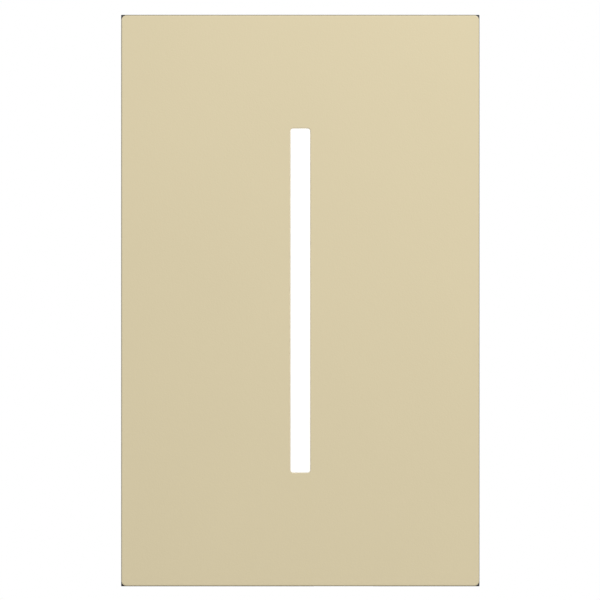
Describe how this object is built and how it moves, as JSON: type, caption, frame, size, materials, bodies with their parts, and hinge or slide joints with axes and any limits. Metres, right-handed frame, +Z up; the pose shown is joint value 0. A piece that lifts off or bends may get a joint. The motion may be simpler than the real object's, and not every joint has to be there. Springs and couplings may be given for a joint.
{
  "type": "touch dimmer switch with slotted wallplate",
  "caption": "Wall-box dimmer with a tall flat wallplate, a narrow vertical slot for the lit touch bar, and a rear housing with screw terminals and a pull-out service switch.",
  "frame": {"origin": "centre of the wallplate's outline, on the wall surface", "axes": "+X to the viewer's right along the wall, +Y into the wall, +Z up; the visible face looks along -Y"},
  "size_m": [0.0748, 0.0373, 0.1194],
  "materials": {
    "ivory_plastic": "smooth matt moulded polycarbonate",
    "black_plastic": "fine-textured black moulding",
    "opal_light_bar": "opal diffusing lens, lit white",
    "clear_acrylic": "clear acrylic light guide",
    "white_plastic": "white moulded nylon",
    "yoke_aluminium": "stamped sheet, brushed and clear anodised",
    "plated_steel": "zinc-plated steel",
    "brass": "bright brass",
    "green_plated_steel": "green-finished grounding screw",
    "solder_mask_green": "glass-fibre board with green solder mask",
    "sensor_film": "amber flexible printed circuit",
    "copper": "enamelled copper wire and copper-alloy contacts",
    "iron_powder_core": "yellow-coated iron-powder ring",
    "amber_capacitor_case": "moulded film capacitor case",
    "black_epoxy": "moulded epoxy and can sleeve",
    "blue_epoxy": "blue dipped epoxy",
    "fibre_card": "vulcanised fibre",
    "resistor_ceramic": "brown coated ceramic body",
    "label_foil": "blank silver label stock",
    "thermal_pad": "grey silicone pad"
  },
  "bodies": {
    "dimmer": {"adapter_frame": "black_plastic", "adapter_screw_upper": "plated_steel", "adapter_screw_lower": "plated_steel", "control_bezel": "black_plastic", "light_bar_lens": "opal_light_bar", "touch_sensor_film": "sensor_film", "light_guide": "clear_acrylic", "led_reflector": "white_plastic", "control_board": "solder_mask_green", "bar_led_1": "white_plastic", "bar_led_2": "white_plastic", "bar_led_3": "white_plastic", "bar_led_4": "white_plastic", "bar_led_5": "white_plastic", "bar_led_6": "white_plastic", "bar_led_7": "white_plastic", "microcontroller": "black_epoxy", "sensor_connector": "white_plastic", "yoke": "yoke_aluminium", "box_screw_upper": "plated_steel", "box_screw_lower": "plated_steel", "screw_retainer_upper": "fibre_card", "screw_retainer_lower": "fibre_card", "ground_screw": "green_plated_steel", "rear_housing": "black_plastic", "housing_screw_1": "plated_steel", "housing_screw_2": "plated_steel", "housing_screw_3": "plated_steel", "housing_screw_4": "plated_steel", "rating_label": "label_foil", "line_terminal_plate": "brass", "load_terminal_plate": "brass", "companion_terminal_plate": "brass", "line_terminal_screw": "brass", "load_terminal_screw": "brass", "companion_terminal_screw": "brass", "power_board": "solder_mask_green", "board_header": "black_epoxy", "triac": "black_epoxy", "triac_pad": "thermal_pad", "triac_screw": "plated_steel", "choke_core": "iron_powder_core", "choke_winding": "copper", "film_capacitor": "amber_capacitor_case", "electrolytic_capacitor": "black_epoxy", "fuse": "black_epoxy", "varistor": "blue_epoxy", "gate_driver": "white_plastic", "bleed_resistor": "resistor_ceramic", "lever_pin": "plated_steel", "switch_bracket": "brass", "fixed_contact": "copper"},
    "wallplate": {"wallplate": "ivory_plastic"},
    "service_slider": {"service_tab": "black_plastic"},
    "contact_lever": {"contact_lever": "white_plastic", "moving_contact": "copper"}
  },
  "joints": [
    {"name": "wallplate_pull_off", "type": "slide", "parent": "dimmer", "child": "wallplate", "axis": [0, -1, 0], "range_m": [0, 0.015]},
    {"name": "service_switch_pull", "type": "slide", "parent": "dimmer", "child": "service_slider", "axis": [0, 0, -1], "range_m": [0, 0.0032]},
    {"name": "air_gap_contact_swing", "type": "hinge", "parent": "dimmer", "child": "contact_lever", "pos_m": [0.009, 0.015, -0.0294], "axis": [1, 0, 0], "range_deg": [0, 23.08]}
  ],
  "couplings": [
    {"joint": "air_gap_contact_swing", "follows": "service_switch_pull", "rad_per_m": 125.88}
  ]
}
